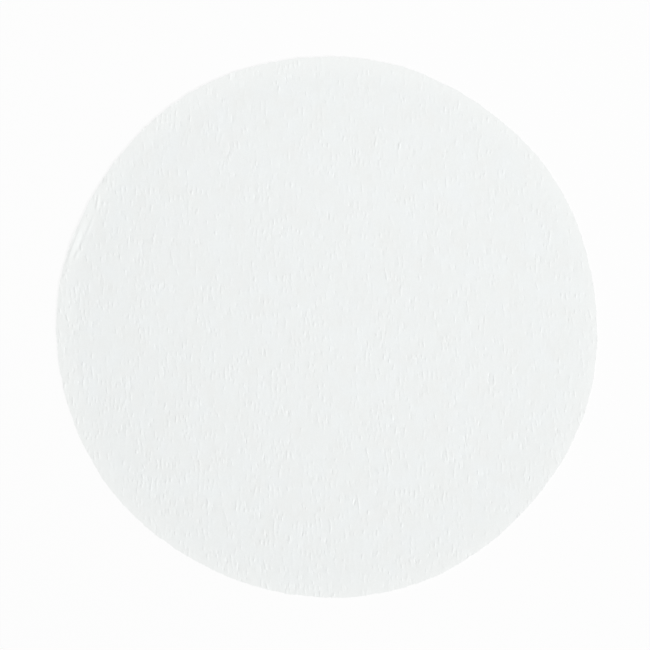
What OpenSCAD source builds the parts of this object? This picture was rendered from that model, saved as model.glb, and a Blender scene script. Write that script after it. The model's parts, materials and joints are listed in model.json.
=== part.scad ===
// Filter paper circle for a laboratory funnel: one die-cut sheet of creped
// cellulose paper, lying flat, with a short crease pinched into its rim.
// Origin: centre of the underside. +Z: up through the sheet. Sizes in mm.
// The crease is a run of straight folds, side by side across the rim. Coming
// from the flat sheet they are a low ridge, a valley, a crest and a level lip.

/* [Sheet] */
// Diameter of the die-cut circle
disc_d = 110; // [40:1:320]
// Thickness of the sheet, measured over its crepe
sheet_t = 0.42; // [0.15:0.01:1]

/* [Crease] */
// Direction of the crease from the centre, in degrees from +X
crease_azimuth = 159; // [0:1:359]
// Width of the level lip, from the rim in to its fold
lip_w = 0.4; // [0.2:0.1:1.5]
// Width of the drop between the crest and the lip
drop_w = 0.4; // [0.3:0.1:1.5]
// Width of the rising strip between the valley and the crest
strip_w = 1.5; // [1:0.1:4]
// Width of the dip between the low ridge and the valley
dip_w = 0.4; // [0.3:0.1:1.5]
// Width of the lift between the flat sheet and the low ridge
lift_w = 0.5; // [0.3:0.1:2]
// Height of the underside above the table along the low ridge
ridge_rise = 0.06; // [0:0.01:0.12]
// Height of the underside above the table along the valley
valley_rise = 0.02; // [0:0.01:0.12]
// Height of the underside above the table along the crest
crest_rise = 0.2; // [0.12:0.01:0.3]
// Height of the crest above the lip
lip_drop = 0.07; // [0:0.01:0.12]

/* [Hidden] */

disc_r = disc_d / 2;

// How far the uncut sheet reaches past the circle that the die cuts.
trim = 1;

// Places of the folds, as distances in from the near rim.
crest_inset = lip_w + drop_w;
valley_inset = crest_inset + strip_w;
ridge_inset = valley_inset + dip_w;
lift_inset = ridge_inset + lift_w;
lip_rise = crest_rise - lip_drop;

// The underside across the folds, from past the far rim to past the near one.
// Each point is its distance in from the near rim, and its height.
under_profile = [
    [disc_d + trim, 0],
    [lift_inset, 0],
    [ridge_inset, ridge_rise],
    [valley_inset, valley_rise],
    [crest_inset, crest_rise],
    [lip_w, lip_rise],
    [-trim, lip_rise]
];
last = len(under_profile) - 1;

// The same points measured from the disc's centre.
function under(i) = [disc_r - under_profile[i].x, under_profile[i].y];

// Slope of the run between point i and the next, with the end runs carried on.
function slope(i) =
    let (
        k = max(0, min(i, last - 1)),
        run = under(k + 1) - under(k)
    )
    atan2(run.y, run.x);

// The top face above point i: the sheet keeps its thickness through a fold.
function over(i) =
    let (
        middle = (slope(i - 1) + slope(i)) / 2,
        half_turn = (slope(i) - slope(i - 1)) / 2
    )
    under(i) + sheet_t / cos(half_turn) * [-sin(middle), cos(middle)];

// The sheet's section, drawn across the folds.
module sheet_section() {
    polygon(concat(
        [for (i = [0:last]) under(i)],
        [for (i = [last:-1:0]) over(i)]
    ));
}

// The folded sheet before it is cut, with its folds across the crease's azimuth.
module folded_sheet() {
    rotate([0, 0, crease_azimuth])
        rotate([90, 0, 0])
            linear_extrude(height = disc_d + 2 * trim, center = true)
                sheet_section();
}

// What the die cuts out of the sheet: a true circle with a square edge.
module die_cut() {
    translate([0, 0, -trim])
        cylinder(r = disc_r, h = crest_rise + 2 * (sheet_t + trim), $fn = 180);
}

// The filter disc: one sheet of paper.
module filter_disc() {
    color("#EFF2F1")
        intersection() {
            die_cut();
            folded_sheet();
        }
}

filter_disc();
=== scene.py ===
"""Filter paper circle for a laboratory funnel: one die-cut sheet of creped cellulose paper.

The sheet is cut from a web of paper, creped by raising a few thousand short folds across it, pinched at its
rim, and given its thickness. Lengths in the functions are millimetres and the meshes are metres.
"""

import json
import math
import random
from collections import namedtuple

import bpy
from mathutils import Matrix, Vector, kdtree, noise

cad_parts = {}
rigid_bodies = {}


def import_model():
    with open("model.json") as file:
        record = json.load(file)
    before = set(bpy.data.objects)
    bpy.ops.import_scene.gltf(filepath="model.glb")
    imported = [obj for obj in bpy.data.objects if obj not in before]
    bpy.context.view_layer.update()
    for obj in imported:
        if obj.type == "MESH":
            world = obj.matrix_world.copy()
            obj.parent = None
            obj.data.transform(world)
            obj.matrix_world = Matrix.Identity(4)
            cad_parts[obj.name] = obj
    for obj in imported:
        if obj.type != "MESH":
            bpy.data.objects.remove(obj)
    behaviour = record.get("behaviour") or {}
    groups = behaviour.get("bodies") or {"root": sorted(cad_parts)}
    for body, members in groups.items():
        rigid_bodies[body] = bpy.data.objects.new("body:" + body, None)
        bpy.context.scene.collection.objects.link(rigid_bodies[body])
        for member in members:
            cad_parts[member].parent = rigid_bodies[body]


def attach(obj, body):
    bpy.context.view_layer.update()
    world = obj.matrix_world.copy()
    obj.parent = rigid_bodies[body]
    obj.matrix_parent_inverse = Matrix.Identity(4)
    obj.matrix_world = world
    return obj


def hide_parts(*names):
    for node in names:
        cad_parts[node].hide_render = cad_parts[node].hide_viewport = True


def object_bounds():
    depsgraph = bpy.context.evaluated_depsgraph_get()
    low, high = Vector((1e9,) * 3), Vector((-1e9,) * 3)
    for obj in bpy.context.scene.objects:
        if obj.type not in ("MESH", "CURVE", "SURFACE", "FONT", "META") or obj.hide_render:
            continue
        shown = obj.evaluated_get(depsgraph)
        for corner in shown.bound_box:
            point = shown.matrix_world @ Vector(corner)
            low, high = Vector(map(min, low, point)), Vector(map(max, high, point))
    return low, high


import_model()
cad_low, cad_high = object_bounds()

MM = 0.001

# The sheet, in millimetres
RIM_R = (cad_high.x - cad_low.x) / 2 / MM
WALL = 0.28  # the paper itself, between one face and the other
CELL_ACROSS = 0.1  # cells of the web across the crepe, before it is thinned
CELL_ALONG = 0.25  # and along it
EDGE_BAND = 0.15  # the even cells end this far inside the rim
RIM_EDGES = 1440
TOP_TRIANGLES = 150000  # what the top keeps
ALL_TRIANGLES = 197000  # what the sheet keeps with its underside and edge
SLIVER = 0.02  # a face or edge narrower than this is closed up
UPRIGHT = 0.6  # a face stands on edge where less than this share of its normal points out of its side
SHARP_ANGLE = math.radians(60)  # the rim's corners stay sharp, and the crepe is smooth
LEAN = math.radians(3.5)  # the web's cells lean this far anticlockwise from +Y, about as its folds do

# Each kind of unevenness has a layer of the noise to itself
COCKLE_LAYER, PUCKER_LAYER, GRAIN_LAYER = 1, 2, 4
SWAY_LAYER, PATCH_LAYER, DRIFT_LAYER = 3, 7, 9
WANDER_LAYER, ROUGH_LAYER = 5, 8

# The crepe's rows of short folds, in millimetres
FOLD_SEED = 11
FOLD_GAP = 0.96  # from one fold to the next
FOLD_ROW = 0.95  # from one row to the next
ROW_SHIFT = 0.35  # the most that a row starts aside of the last one, as a share of the gap
GAP_STRAY = 0.12  # the most that a fold strays from its place, as a share of the gap
ROW_STRAY = 0.5  # and of the row
FOLD_LENGTH = 0.65
SHORTEST_FOLD = 0.4
LONGEST_FOLD = 4.5
FOLD_REACH = 0.8  # a fold ends this share of its length from its middle, to either side
FOLD_TAPER = 0.6  # a power below 1 keeps a fold high until near its ends
FOLD_SEARCH = 2  # the search for the places under a fold goes this many of its widths past its ends
FOLD_HEIGHT = 0.043
HIGHEST_FOLD = 0.085
FOLD_WIDTH = 0.10
LOPSIDED = 0.05  # a fold is this share steeper on its left than its mean, and as much gentler on its right
RISING_SHARE = 0.8  # the rest of the folds sink
LENGTH_SPREAD = 0.28  # spreads are of the logarithm
HEIGHT_SPREAD = 0.38
WIDTH_SPREAD = 0.12

# Their turns clockwise from +Y, in degrees. A render at 64 samples shows them several degrees further
# clockwise than they are, and further than one at 24 samples does, so they are made a little anticlockwise
FOLD_TURN = -4
TURN_SWAY = 8.75  # how far neighbours turn together, at most
SWAY_SIZE = 5  # over this many millimetres
TURN_SPREAD = 5.5  # how far each turns alone

# Where the folds crowd: size of the patches in millimetres, and how strongly they pull
PATCH = Vector((2.3, 1.8))
PATCH_PULL = 3.2
DRIFT = 8  # size of the wider patches that these gather in
DRIFT_PULL = 1.1
STRONG_AZIMUTH = math.radians(240)  # where the crepe is strongest
STRONG_PULL = 0.3
CROWD_LEVEL = 0.52  # the pull at which half of the folds are there
CROWD_STEP = 4.5
THIN_SHARE = 0.17  # the folds that are left in the thinnest places
THIN_HEIGHT = 0.5  # and their height
CROWD_HEIGHT = 0.65  # what crowding adds to that
STRONG_HEIGHT = 0.1  # what the stronger side adds

# The waviness of the sheet: height, size across and size along, in millimetres
COCKLE = (0.05, 22, 26)
PUCKER = (0.012, 5, 7)
PUCKER_STRONG = 0.5  # the stronger side puckers by this share more
GRAIN = (0.0015, 0.8, 1.9)
CURL_HEIGHT = 0.04  # the rim curls up by this much
CURL_WIDTH = 4  # over this width

# How the rim strays from a circle: size of the stray, how many times round, and where it peaks in degrees
RIM_WAVES = (
    (0.05, 2, -53),
    (0.08, 3, -47),
    (0.14, 4, 15),
    (0.07, 5, -18),
    (0.09, 6, -15),
    (0.08, 7, 25),
    (0.08, 8, -14),
)
MOST_STRAY = 2  # the rim never strays this far in
RIM_MARGIN = 1  # work on the sheet goes on to this far past the rim, or stops this far inside it
# And how its loose fibres roughen it: size of the bumps, and how many there are to a radian
RIM_FIBRES = ((0.13, 9), (0.13, 24), (0.09, 60), (0.05, 110))
# The pinch draws the rim in: by how much, at which way along the pinch, and over what width
DRAWN_IN = 0.13
DRAWN_AT = 1.5
DRAWN_WIDTH = 3

# The pinch in the rim, in millimetres: ways along it, clockwise, and insets from the rim's chord
PINCH_AZIMUTH = math.radians(159)
PINCH_INSET = 5  # it lies inside these bounds
PINCH_REACH = 14
VALLEY_INSET = 2.05
VALLEY_SLANT = 0.03
CREST_INSET = 0.85
WANDER = 0.2  # how far the valley strays from a straight line, and the crest half as far
WANDER_LENGTH = 2.5
# A span is where a part of the pinch starts, is full, begins to fall and ends
STRIP_SPAN = (-8.5, -3, 1.2, 3.2)
STRIP_RISE = 0.13
STRIP_ROUND = 0.3  # share of the climb that follows a smooth curve, where the rest is straight
STRIP_ROUGH = (0.03, 1.1, 0.45)  # height, length along and width of the bumps on it
TAIL_SPAN = (1.2, 3.2, 8, 10)  # the strip runs on lower
TAIL_SHARE = 0.4
NARROW_SPAN = (-3.2, -1.7, 0.8, 3)  # the strip is narrower here
NARROW_BY = 0.3
NARROW_DROP = 0.1  # and lower by this share of that
RIDGE_SPAN = (-1, 1, 3, 4.5)
RIDGE_RISE = 0.045
RIDGE_INSET = 0.4  # from the valley
RIDGE_WIDTH = 0.2
DENT_SPAN = (-4, -2.5, -0.5, 1)
DENT_DEPTH = 0.042
DENT_INSET = 0.1
DENT_WIDTH = 0.25
LIP_SPAN = (-8.5, -6.5, -4.5, -3)
LIP_DROP = 0.05
LIP_TAIL_SPAN = (-4.5, -3, 0.3, 2)
LIP_TAIL_DROP = 0.027
LIP_WIDTH = 0.4
# Its wrinkles: way along the pinch, inset, turn in degrees from the chord, length, height, width
PINCH_FOLDS = (
    (6.9, 2.25, -12, 2.1, 0.11, 0.20),
    (5.4, 3.45, -15, 1.0, 0.055, 0.14),
    (7.0, 3.35, -15, 0.8, 0.055, 0.14),
    (-4.7, 2.10, 0, 1.4, 0.08, 0.24),
    (-2.9, 2.40, -30, 0.8, 0.07, 0.14),
    (-9.6, 1.25, -12, 0.7, 0.065, 0.15),
    (-8.2, 1.45, -12, 0.6, 0.06, 0.15),
)

# The paper's finish, in millimetres. Cellulose fibres are about 0.03 wide, too fine to show, and are drawn as
# bundles four times as wide
FIBRE_WIDTH = 0.12
FIBRE_LENGTH = 1.2
FIBRE_CURL = 1.5  # the length of a curl
FIBRE_SWAY = 1.2  # how far a curl carries a fibre aside
FIBRE_HEIGHT = 0.004
FIBRE_EDGES = (0.52, 0.7)  # the noise at a fibre's foot and at its top
FIBRE_LAYERS = ((8, 0.0), (68, 5.0), (-52, 9.0))  # each layer's turn in degrees and its seed
SHADE_BETWEEN_FIBRES = 0.987  # painted shade: the share of the colour that is left between them
ROUGH_BETWEEN = 0.96
ROUGH_FIBRES = 0.86
CLOUD_SIZE = 5
CLOUD_EDGES = (0.3, 0.7)
RIM_LIGHT_WIDTH = 6  # painted light: the rim is painted paler over this width
RIM_LIGHT_PAST = 2  # and its painted light would be strongest this far past its edge
PULP_THIN = "#EFF1F0"
PULP_THICK = "#F0F3F3"
# painted light: the paler colour that the rim is painted towards
RIM_PAINTED_LIGHT = "#F3F5F4"
CELLULOSE_IOR = 1.5
PAPER_SPECULAR = 0.3

# The stage
BACKGROUND = "#FDFDFD"
TABLE_R = 1.5  # metres
TABLE_EDGES = 96
SHADOW_SHARE = 0.1  # how much of its true shading the table shows near the sheet
SHADOW_FADE = (0.1, 0.5)  # metres from the sheet's middle over which even that goes
LENS = 85  # millimetres
SENSOR = 36
NEAREST = 0.01  # metres from the camera at which things begin to show
FARTHEST = 10  # and at which they stop
CAMERA_PLACE = (-0.47, 0.39, 312.75)  # millimetres

# The light on the sheet, as shares of the level at which a colour renders as written
SKY_SHARE = 0.307
# Each lamp: share, azimuth, height in degrees, distance and size in metres
KEY_LAMP = (0.52, -40, 45, 3.3, 0.8)
FILL_LAMP = (0.188, 78, 65, 0.45, 0.2)

Fold = namedtuple("Fold", "x y turn length height width")


# ---------------------------------------------------------------- curves and noise

def smooth_step(value, low, high):
    """Rises smoothly from 0 at low to 1 at high."""
    t = min(1.0, max(0.0, (value - low) / (high - low)))
    return t * t * (3 - 2 * t)


def hump(value, start, top, fall, end):
    """Rises from 0 to 1 between start and top, and falls back between fall and end."""
    return smooth_step(value, start, top) * (1 - smooth_step(value, fall, end))


def bell(offset, width):
    """1 in the middle, falling smoothly to either side."""
    return math.exp(-0.5 * (offset / width) ** 2)


def uneven(x, y, across, along, layer):
    """Smooth noise from about -1 to 1, in bumps of this size. Each layer has its own."""
    return noise.noise(Vector((x / across, y / along, layer)))


# ---------------------------------------------------------------- the web, cut to the rim

def new_web():
    """A flat web of paper in fine cells that lean as the crepe does."""
    bpy.ops.object.select_all(action="DESELECT")
    reach = RIM_R
    across = round(2 * reach / CELL_ACROSS)
    along = round(2 * reach / CELL_ALONG)
    bpy.ops.mesh.primitive_grid_add(
        x_subdivisions=across, y_subdivisions=along, size=2 * reach * MM, rotation=(0, 0, LEAN)
    )
    web = bpy.context.object
    web.name = "filter_sheet"
    bpy.ops.object.transform_apply(location=True, rotation=True, scale=True)
    return web


def drawn_in(azimuth):
    """How far the pinch draws the rim in."""
    if math.cos(PINCH_AZIMUTH - azimuth) <= 0:
        return 0.0
    along = RIM_R * math.sin(PINCH_AZIMUTH - azimuth)
    return DRAWN_IN * math.exp(-((along - DRAWN_AT) / DRAWN_WIDTH) ** 2)


def rim_at(azimuth):
    """The cut edge's distance from the centre: a circle, a little out of true, roughened by loose fibres."""
    turn = Vector((math.cos(azimuth), math.sin(azimuth), 0))
    wave = sum(size * math.cos(count * (azimuth - math.radians(peak))) for size, count, peak in RIM_WAVES)
    fibre = sum(size * noise.noise(turn * count) for size, count in RIM_FIBRES)
    return RIM_R + wave + fibre - drawn_in(azimuth)


def past_cells(place):
    """Whether a place is past the line where the even cells end, a little inside the rim."""
    radius = place.xy.length
    return radius > RIM_R - MOST_STRAY and radius > rim_at(math.atan2(place.y, place.x)) - EDGE_BAND


def trim_web(web):
    """Cuts the web back to a stepped edge a little inside the rim."""
    bpy.ops.object.mode_set(mode="EDIT")
    bpy.ops.mesh.select_mode(type="FACE")
    bpy.ops.mesh.select_all(action="DESELECT")
    bpy.ops.object.mode_set(mode="OBJECT")
    past = [past_cells(vertex.co / MM) for vertex in web.data.vertices]
    for face in web.data.polygons:
        face.select = any(past[index] for index in face.vertices)
    bpy.ops.object.mode_set(mode="EDIT")
    bpy.ops.mesh.delete(type="FACE")
    bpy.ops.object.mode_set(mode="OBJECT")


def add_rim(web):
    """Draws the die's line round the web and fills the narrow band between them."""
    inner = len(web.data.vertices)
    bpy.ops.object.mode_set(mode="EDIT")
    bpy.ops.mesh.select_mode(type="VERT")
    bpy.ops.mesh.select_all(action="DESELECT")
    bpy.ops.mesh.primitive_circle_add(vertices=RIM_EDGES, radius=RIM_R * MM, location=(0, 0, 0))
    bpy.ops.object.mode_set(mode="OBJECT")
    for vertex in web.data.vertices[inner:]:
        vertex.co *= rim_at(math.atan2(vertex.co.y, vertex.co.x)) / RIM_R
    bpy.ops.object.mode_set(mode="EDIT")
    bpy.ops.mesh.select_all(action="DESELECT")
    bpy.ops.mesh.select_mode(type="EDGE")
    bpy.ops.mesh.select_non_manifold()
    bpy.ops.mesh.fill(use_beauty=True)
    bpy.ops.mesh.select_all(action="SELECT")
    bpy.ops.mesh.normals_make_consistent(inside=False)
    bpy.ops.object.mode_set(mode="OBJECT")


# ---------------------------------------------------------------- the crepe

def towards_strong(x, y):
    """From 1 at the side of the sheet where the crepe is strongest to -1 at the other side."""
    return (x * math.cos(STRONG_AZIMUTH) + y * math.sin(STRONG_AZIMUTH)) / RIM_R


def crowding(x, y):
    """From 0 where the paper is smooth to 1 where folds crowd."""
    pull = PATCH_PULL * uneven(x, y, PATCH.x, PATCH.y, PATCH_LAYER)
    pull += DRIFT_PULL * uneven(x, y, DRIFT, DRIFT, DRIFT_LAYER)
    return 1 / (1 + math.exp(-CROWD_STEP * (pull - CROWD_LEVEL + STRONG_PULL * towards_strong(x, y))))


def crepe_folds():
    """The crepe: rows of short folds that crowd in patches and leave smooth paper between."""
    rng = random.Random(FOLD_SEED)
    folds = []
    rows = round(2 * RIM_R / FOLD_ROW) + 2
    steps = round(2 * RIM_R / FOLD_GAP) + 2
    shift = 0.0
    for row in range(rows):
        shift = (shift + rng.uniform(-ROW_SHIFT, ROW_SHIFT)) % 1
        for step in range(steps):
            x = (step - steps / 2 + shift + rng.uniform(-GAP_STRAY, GAP_STRAY)) * FOLD_GAP
            y = (row - rows / 2 + rng.uniform(-ROW_STRAY, ROW_STRAY)) * FOLD_ROW
            dense = crowding(x, y)
            sway = TURN_SWAY * uneven(x, y, SWAY_SIZE, SWAY_SIZE, SWAY_LAYER)
            turn = math.radians(FOLD_TURN + sway + rng.gauss(0, TURN_SPREAD))
            length = FOLD_LENGTH * rng.lognormvariate(0, LENGTH_SPREAD)
            length = min(LONGEST_FOLD, max(SHORTEST_FOLD, length))
            height = FOLD_HEIGHT * rng.lognormvariate(0, HEIGHT_SPREAD)
            height *= (THIN_HEIGHT + CROWD_HEIGHT * dense) * (1 + STRONG_HEIGHT * towards_strong(x, y))
            width = FOLD_WIDTH * rng.lognormvariate(0, WIDTH_SPREAD)
            rises = rng.random() < RISING_SHARE
            kept = rng.random() < THIN_SHARE + (1 - THIN_SHARE) * dense
            if kept and math.hypot(x, y) < RIM_R + RIM_MARGIN:
                folds.append(Fold(x, y, turn, length, height if rises else -height, width))
    return folds


def raise_folds(places, heights, folds):
    """Adds each fold's ridge to the heights of the places near it."""
    tree = kdtree.KDTree(len(places))
    for index, place in enumerate(places):
        tree.insert((place.x, place.y, 0), index)
    tree.balance()
    for fold in folds:
        along = Vector((math.sin(fold.turn), math.cos(fold.turn)))
        half = FOLD_REACH * fold.length
        for near, index, _ in tree.find_range((fold.x, fold.y, 0), half + FOLD_SEARCH * fold.width):
            offset = near.xy - Vector((fold.x, fold.y))
            v = offset.dot(along)
            u = offset.x * along.y - offset.y * along.x
            taper = 1 - (v / half) ** 2
            if taper > 0:
                width = fold.width * (1 - LOPSIDED if u < 0 else 1 + LOPSIDED)
                heights[index] += fold.height * taper ** FOLD_TAPER * bell(u, width)


# ---------------------------------------------------------------- the pinch in the rim

def from_pinch(x, y):
    """A place as its way along the pinch, clockwise, and its way in from the rim's chord there."""
    out = x * math.cos(PINCH_AZIMUTH) + y * math.sin(PINCH_AZIMUTH)
    along = x * math.sin(PINCH_AZIMUTH) - y * math.cos(PINCH_AZIMUTH)
    return along, RIM_R - out


def at_pinch(along, inset):
    """The place at this way along the pinch and this way in from the rim's chord."""
    out = RIM_R - inset
    return (out * math.cos(PINCH_AZIMUTH) + along * math.sin(PINCH_AZIMUTH),
            out * math.sin(PINCH_AZIMUTH) - along * math.cos(PINCH_AZIMUTH))


def strip_height(along, inset, valley, crest, narrow):
    """The strip that climbs from the valley to the crest, and stays at the crest's height outside it."""
    climb = max(0.0, min(1.0, (valley - inset) / (valley - crest)))
    climb = STRIP_ROUND * smooth_step(climb, 0, 1) + (1 - STRIP_ROUND) * climb
    rough, length, width = STRIP_ROUGH
    rise = STRIP_RISE - NARROW_DROP * narrow + rough * uneven(along, inset, length, width, ROUGH_LAYER)
    return rise * (hump(along, *STRIP_SPAN) + TAIL_SHARE * hump(along, *TAIL_SPAN)) * climb


def pinch_height(x, y):
    """The pinch's lift: a low ridge, a valley, a strip that climbs to a crest, and a drop to a level lip."""
    along, inset = from_pinch(x, y)
    if inset > PINCH_INSET or abs(along) > PINCH_REACH:
        return 0.0
    wander = WANDER * uneven(along, 0, WANDER_LENGTH, 1, WANDER_LAYER)
    narrow = NARROW_BY * hump(along, *NARROW_SPAN)
    valley = VALLEY_INSET + VALLEY_SLANT * along + wander - narrow
    crest = CREST_INSET + wander / 2
    height = strip_height(along, inset, valley, crest, narrow)
    ridge = bell(inset - valley - narrow - RIDGE_INSET, RIDGE_WIDTH)
    dent = bell(inset - valley - DENT_INSET, DENT_WIDTH)
    height += RIDGE_RISE * hump(along, *RIDGE_SPAN) * ridge
    height -= DENT_DEPTH * hump(along, *DENT_SPAN) * dent
    lip = LIP_DROP * hump(along, *LIP_SPAN) + LIP_TAIL_DROP * hump(along, *LIP_TAIL_SPAN)
    return height - lip * smooth_step(crest - inset, 0, LIP_WIDTH)


def pinch_folds():
    """The small wrinkles that run off the ends of the pinch."""
    folds = []
    for along, inset, turn, length, height, width in PINCH_FOLDS:
        x, y = at_pinch(along, inset)
        folds.append(Fold(x, y, math.pi - PINCH_AZIMUTH + math.radians(turn), length, height, width))
    return folds


# ---------------------------------------------------------------- the sheet's relief and its wall

def cockle(x, y):
    """The slow waviness of a sheet that dried unevenly, and the faint unevenness of its surface."""
    slow, slow_across, slow_along = COCKLE
    pucker, pucker_across, pucker_along = PUCKER
    grain, grain_across, grain_along = GRAIN
    stronger = 1 + PUCKER_STRONG * towards_strong(x, y)
    return (slow * uneven(x, y, slow_across, slow_along, COCKLE_LAYER)
            + pucker * stronger * uneven(x, y, pucker_across, pucker_along, PUCKER_LAYER)
            + grain * uneven(x, y, grain_across, grain_along, GRAIN_LAYER))


def rim_curl(x, y):
    """How far the sheet curls up near its rim."""
    return CURL_HEIGHT * smooth_step(math.hypot(x, y), RIM_R - CURL_WIDTH, RIM_R)


def crepe_sheet(web):
    """Raises the crepe and the pinch over the web."""
    mesh = web.data
    places = [vertex.co / MM for vertex in mesh.vertices]
    heights = [0.0] * len(places)
    raise_folds(places, heights, crepe_folds())
    for index, place in enumerate(places):
        folded = HIGHEST_FOLD * math.tanh(heights[index] / HIGHEST_FOLD)
        x, y = place.x, place.y
        heights[index] = folded + cockle(x, y) + rim_curl(x, y) + pinch_height(x, y)
    raise_folds(places, heights, pinch_folds())
    for vertex, height in zip(mesh.vertices, heights):
        vertex.co.z = height * MM


def split_cells(sheet):
    """Splits each cell along the diagonal that follows its fold."""
    bpy.ops.object.mode_set(mode="EDIT")
    bpy.ops.mesh.select_all(action="SELECT")
    bpy.ops.mesh.quads_convert_to_tris(quad_method="SHORTEST_DIAGONAL")
    bpy.ops.object.mode_set(mode="OBJECT")


def thin_out(sheet, triangles, group=""):
    """Leaves out the faces that smooth paper doesn't need, all over or in a group of vertices."""
    thinner = sheet.modifiers.new("thinner", "DECIMATE")
    thinner.ratio = triangles / sum(len(face.vertices) - 2 for face in sheet.data.polygons)
    thinner.vertex_group = group
    bpy.ops.object.modifier_apply(modifier=thinner.name)


def select_odd(sheet, reach):
    """Selects the faces that stand on edge or lie folded over, out to this far, and those round them."""
    bpy.ops.mesh.select_all(action="DESELECT")
    bpy.ops.object.mode_set(mode="OBJECT")
    under = {vertex.index for vertex in sheet.data.vertices if vertex.groups}
    for face in sheet.data.polygons:
        outward = -1 if under.issuperset(face.vertices) else 1
        face.select = outward * face.normal.z < UPRIGHT and face.center.xy.length < reach * MM
    bpy.ops.object.mode_set(mode="EDIT")
    bpy.ops.mesh.select_more()


def comb_out(sheet, reach):
    """Fills anew the few places where thinning leaves a sliver on edge or folded over."""
    bpy.ops.object.mode_set(mode="EDIT")
    bpy.ops.mesh.select_mode(type="FACE")
    bpy.ops.mesh.select_all(action="SELECT")
    bpy.ops.mesh.dissolve_degenerate(threshold=SLIVER * MM)
    bpy.ops.mesh.quads_convert_to_tris(quad_method="BEAUTY", ngon_method="BEAUTY")
    select_odd(sheet, reach)
    bpy.ops.mesh.dissolve_faces()
    bpy.ops.mesh.quads_convert_to_tris(quad_method="BEAUTY", ngon_method="BEAUTY")
    bpy.ops.object.mode_set(mode="OBJECT")


def give_thickness(sheet):
    """Draws the sheet straight down by its wall, as a die cuts it, and groups the underside's vertices."""
    bpy.ops.object.mode_set(mode="EDIT")
    bpy.ops.mesh.select_all(action="SELECT")
    bpy.ops.mesh.extrude_region_move(TRANSFORM_OT_translate={"value": (0, 0, -WALL * MM)})
    bpy.ops.object.vertex_group_assign_new()
    sheet.vertex_groups.active.name = "underside"
    bpy.ops.mesh.select_all(action="SELECT")
    bpy.ops.mesh.normals_make_consistent(inside=False)
    bpy.ops.object.mode_set(mode="OBJECT")


def settle(sheet):
    """Lets the sheet down until its lowest point rests on the table."""
    lowest = min(vertex.co.z for vertex in sheet.data.vertices)
    for vertex in sheet.data.vertices:
        vertex.co.z -= lowest


# ---------------------------------------------------------------- materials

# The colour sockets of a Mix node: its two inputs and its output
MIX_A = 6
MIX_B = 7
MIXED = 2


def linear(hex_colour):
    """An sRGB hex colour as linear RGBA."""
    parts = [int(hex_colour[i:i + 2], 16) / 255 for i in (1, 3, 5)]
    return [c / 12.92 if c <= 0.04045 else ((c + 0.055) / 1.055) ** 2.4 for c in parts] + [1.0]


def add(tree, kind, settings, inputs):
    """Adds a node to the tree, with its settings, and its inputs as values or as links."""
    made = tree.nodes.new(kind)
    for name, value in settings.items():
        setattr(made, name, value)
    for socket, value in inputs.items():
        if isinstance(value, bpy.types.NodeSocket):
            tree.links.new(value, made.inputs[socket])
        else:
            made.inputs[socket].default_value = value
    return made


def new_material(name):
    """A material of this name, still without nodes."""
    material = bpy.data.materials.new(name)
    material.use_nodes = True
    material.node_tree.nodes.clear()
    return material


def fibre_layer(tree, place, turn, seed):
    """Fibres of one direction: long narrow streaks, kept where the noise is high."""
    laid = add(tree, "ShaderNodeMapping", {"vector_type": "TEXTURE"}, {
        "Vector": place,
        "Rotation": (0, 0, math.radians(turn)),
        "Scale": (FIBRE_WIDTH * MM, FIBRE_LENGTH * MM, FIBRE_LENGTH * MM),
    })
    streaks = add(tree, "ShaderNodeTexNoise", {"noise_dimensions": "4D"}, {
        "Vector": laid.outputs[0],
        "W": seed,
        "Scale": 1.0,
        "Detail": 1.0,
        "Roughness": 0.5,
        "Distortion": 0.3,
    })
    foot, top = FIBRE_EDGES
    return add(tree, "ShaderNodeMapRange", {"interpolation_type": "SMOOTHSTEP"}, {
        "Value": streaks.outputs[0], "From Min": foot, "From Max": top,
    }).outputs[0]


def curled(tree, place):
    """The place pushed about a little, so that the fibres laid from it curl."""
    drift = add(tree, "ShaderNodeTexNoise", {}, {
        "Vector": place, "Scale": 1 / (FIBRE_CURL * MM), "Detail": 1.0, "Roughness": 0.5,
    })
    centred = add(tree, "ShaderNodeVectorMath", {"operation": "SUBTRACT"}, {
        0: drift.outputs["Color"], 1: (0.5, 0.5, 0.5),
    })
    return add(tree, "ShaderNodeVectorMath", {"operation": "MULTIPLY_ADD"}, {
        0: centred.outputs[0], 1: (FIBRE_SWAY * MM, FIBRE_SWAY * MM, 0), 2: place,
    }).outputs[0]


def felted_fibres(tree, place):
    """Three directions of fibres lying over one another, as a height from 0 to 1."""
    bent = curled(tree, place)
    first, second, third = (fibre_layer(tree, bent, turn, seed) for turn, seed in FIBRE_LAYERS)
    pair = add(tree, "ShaderNodeMath", {"operation": "MAXIMUM"}, {0: first, 1: second})
    return add(tree, "ShaderNodeMath", {"operation": "MAXIMUM"}, {0: pair.outputs[0], 1: third}).outputs[0]


def pulp_clouds(tree, place):
    """The pulp's colour, in faint clouds where it settled thicker or thinner."""
    clouds = add(tree, "ShaderNodeTexNoise", {}, {
        "Vector": place, "Scale": 1 / (CLOUD_SIZE * MM), "Detail": 3.0, "Roughness": 0.55,
    })
    low, high = CLOUD_EDGES
    settled = add(tree, "ShaderNodeMapRange", {}, {
        "Value": clouds.outputs[0], "From Min": low, "From Max": high,
    })
    return add(tree, "ShaderNodeMix", {"data_type": "RGBA"}, {
        "Factor": settled.outputs[0], MIX_A: linear(PULP_THIN), MIX_B: linear(PULP_THICK),
    }).outputs[MIXED]


def rim_light_mask(tree, place):
    """Where light is painted on the sheet: 0 over most of it, rising towards 1 at the cut edge."""
    flat = add(tree, "ShaderNodeVectorMath", {"operation": "MULTIPLY"}, {0: place, 1: (1, 1, 0)})
    radius = add(tree, "ShaderNodeVectorMath", {"operation": "LENGTH"}, {0: flat.outputs[0]})
    return add(tree, "ShaderNodeMapRange", {"interpolation_type": "SMOOTHSTEP"}, {
        "Value": radius.outputs["Value"],
        "From Min": (RIM_R - RIM_LIGHT_WIDTH) * MM,
        "From Max": (RIM_R + RIM_LIGHT_PAST) * MM,
    }).outputs[0]


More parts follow.
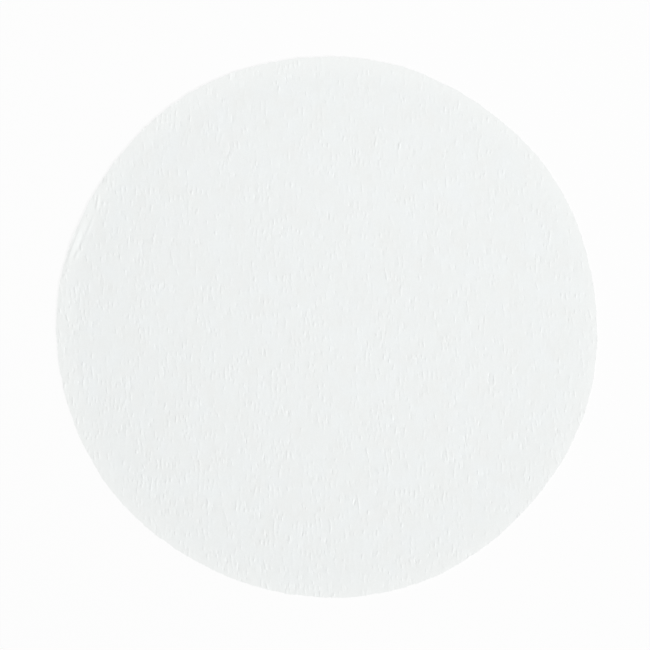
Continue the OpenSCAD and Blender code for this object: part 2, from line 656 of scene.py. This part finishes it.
def creped_cellulose():
    """Cotton-linter filter paper, wet-laid and creped, never calendered or coated.

    That leaves a bright neutral white with a trace of blue-green, quite matt, with a felt of fibres that
    only shows close up, and faint clouds where the pulp settled unevenly. Shade is painted between the
    fibres, and light is painted on the rim, which is paler towards the cut edge.
    """
    material = new_material("creped_cellulose_paper")
    tree = material.node_tree
    place = add(tree, "ShaderNodeTexCoord", {}, {}).outputs["Object"]
    # painted light: the pulp's colour is mixed towards a paler one near the cut edge
    rim = add(tree, "ShaderNodeMix", {"data_type": "RGBA"}, {
        "Factor": rim_light_mask(tree, place), MIX_A: pulp_clouds(tree, place), MIX_B: linear(RIM_PAINTED_LIGHT),
    })
    fibres = felted_fibres(tree, place)
    # painted shade: the colour is darkened between the fibres, where the felt lies lower
    shade = add(tree, "ShaderNodeMix", {"data_type": "RGBA"}, {
        "Factor": fibres, MIX_A: (SHADE_BETWEEN_FIBRES, SHADE_BETWEEN_FIBRES, SHADE_BETWEEN_FIBRES, 1), MIX_B: (1, 1, 1, 1),
    })
    colour = add(tree, "ShaderNodeMix", {"data_type": "RGBA", "blend_type": "MULTIPLY"}, {
        "Factor": 1.0, MIX_A: rim.outputs[MIXED], MIX_B: shade.outputs[MIXED],
    })
    relief = add(tree, "ShaderNodeBump", {}, {
        "Height": fibres, "Strength": 1.0, "Distance": FIBRE_HEIGHT * MM,
    })
    matt = add(tree, "ShaderNodeMapRange", {}, {
        "Value": fibres, "To Min": ROUGH_BETWEEN, "To Max": ROUGH_FIBRES,
    })
    shader = add(tree, "ShaderNodeBsdfPrincipled", {}, {
        "Base Color": colour.outputs[MIXED],
        "Roughness": matt.outputs[0],
        "IOR": CELLULOSE_IOR,
        "Specular IOR Level": PAPER_SPECULAR,
        "Normal": relief.outputs[0],
    })
    add(tree, "ShaderNodeOutputMaterial", {}, {"Surface": shader.outputs[0]})
    return material


# ---------------------------------------------------------------- the finished sheet

def make_sheet():
    """The filter paper, from the uncut web to the finished sheet."""
    sheet = new_web()
    trim_web(sheet)
    add_rim(sheet)
    crepe_sheet(sheet)
    split_cells(sheet)
    thin_out(sheet, TOP_TRIANGLES)
    comb_out(sheet, RIM_R + RIM_MARGIN)
    give_thickness(sheet)
    thin_out(sheet, ALL_TRIANGLES, "underside")
    comb_out(sheet, RIM_R - RIM_MARGIN)
    settle(sheet)
    bpy.ops.object.select_all(action="DESELECT")
    sheet.select_set(True)
    bpy.context.view_layer.objects.active = sheet
    bpy.ops.object.shade_smooth_by_angle(angle=SHARP_ANGLE)
    sheet.data.materials.append(creped_cellulose())
    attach(sheet, "root")
    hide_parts("filter_disc")


# ---------------------------------------------------------------- stage

def seen_ray(tree):
    """1 for rays that show the background: the camera's, and those mirrored or passed through."""
    path = add(tree, "ShaderNodeLightPath", {}, {})
    glossy = add(tree, "ShaderNodeMath", {"operation": "MAXIMUM"}, {
        0: path.outputs["Is Camera Ray"], 1: path.outputs["Is Glossy Ray"],
    })
    return add(tree, "ShaderNodeMath", {"operation": "MAXIMUM"}, {
        0: glossy.outputs[0], 1: path.outputs["Is Transmission Ray"],
    }).outputs[0]


def make_world():
    """Even light from all round, with a white backdrop."""
    world = bpy.data.worlds.new("studio")
    world.use_nodes = True
    tree = world.node_tree
    tree.nodes.clear()
    sky = add(tree, "ShaderNodeBackground", {}, {"Color": (1, 1, 1, 1), "Strength": SKY_SHARE})
    backdrop = add(tree, "ShaderNodeBackground", {}, {"Color": linear(BACKGROUND), "Strength": 1.0})
    mixed = add(tree, "ShaderNodeMixShader", {}, {
        0: seen_ray(tree), 1: sky.outputs[0], 2: backdrop.outputs[0],
    })
    add(tree, "ShaderNodeOutputWorld", {}, {"Surface": mixed.outputs[0]})
    bpy.context.scene.world = world


def near_sheet(tree):
    """1 on the table round the sheet, falling to 0 well away from it."""
    place = add(tree, "ShaderNodeTexCoord", {}, {}).outputs["Object"]
    away = add(tree, "ShaderNodeVectorMath", {"operation": "LENGTH"}, {0: place})
    near, far = SHADOW_FADE
    return add(tree, "ShaderNodeMapRange", {"interpolation_type": "SMOOTHSTEP"}, {
        "Value": away.outputs["Value"], "From Min": near, "From Max": far, "To Min": 1.0, "To Max": 0.0,
    }).outputs[0]


def table_paint():
    """Matt white table top that shows the sheet's shadow at a tenth of its depth, and none far off."""
    material = new_material("matt_white_table")
    tree = material.node_tree
    paint = add(tree, "ShaderNodeBsdfDiffuse", {}, {"Color": linear(BACKGROUND)})
    glow = add(tree, "ShaderNodeEmission", {}, {"Color": linear(BACKGROUND), "Strength": 1.0})
    shown = add(tree, "ShaderNodeMath", {"operation": "MULTIPLY"}, {0: near_sheet(tree), 1: SHADOW_SHARE})
    hidden = add(tree, "ShaderNodeMath", {"operation": "SUBTRACT"}, {0: 1.0, 1: shown.outputs[0]})
    share = add(tree, "ShaderNodeMath", {"operation": "MULTIPLY"}, {0: seen_ray(tree), 1: hidden.outputs[0]})
    mixed = add(tree, "ShaderNodeMixShader", {}, {
        0: share.outputs[0], 1: paint.outputs[0], 2: glow.outputs[0],
    })
    add(tree, "ShaderNodeOutputMaterial", {}, {"Surface": mixed.outputs[0]})
    return material


def make_table():
    """The table top that the sheet lies on."""
    bpy.ops.object.select_all(action="DESELECT")
    bpy.ops.mesh.primitive_circle_add(vertices=TABLE_EDGES, radius=TABLE_R, fill_type="NGON")
    table = bpy.context.object
    table.name = "table"
    table.data.materials.append(table_paint())


def make_lamp(name, share, azimuth, height, distance, size):
    """A round soft lamp that faces the sheet from this far, and gives it this share of the light."""
    azimuth, height = math.radians(azimuth), math.radians(height)
    lamp = bpy.data.lights.new(name, "AREA")
    lamp.shape = "DISK"
    lamp.size = size
    lamp.energy = share * (math.pi * distance) ** 2 / math.sin(height)
    made = bpy.data.objects.new(name, lamp)
    bpy.context.collection.objects.link(made)
    level = math.cos(height)
    out = Vector((level * math.cos(azimuth), level * math.sin(azimuth), math.sin(height)))
    made.location = out * distance
    made.rotation_euler = out.to_track_quat("Z", "Y").to_euler()


def make_camera():
    """A long lens straight above the sheet, with +Y up in the picture."""
    camera = bpy.data.objects.new("camera", bpy.data.cameras.new("camera"))
    bpy.context.collection.objects.link(camera)
    camera.data.lens = LENS
    camera.data.sensor_width = SENSOR
    camera.data.clip_start = NEAREST
    camera.data.clip_end = FARTHEST
    camera.location = [way * MM for way in CAMERA_PLACE]
    bpy.context.scene.camera = camera


make_camera()
make_world()
make_table()
make_lamp("key", *KEY_LAMP)
make_lamp("fill", *FILL_LAMP)
make_sheet()
bpy.context.scene.view_settings.view_transform = "Standard"
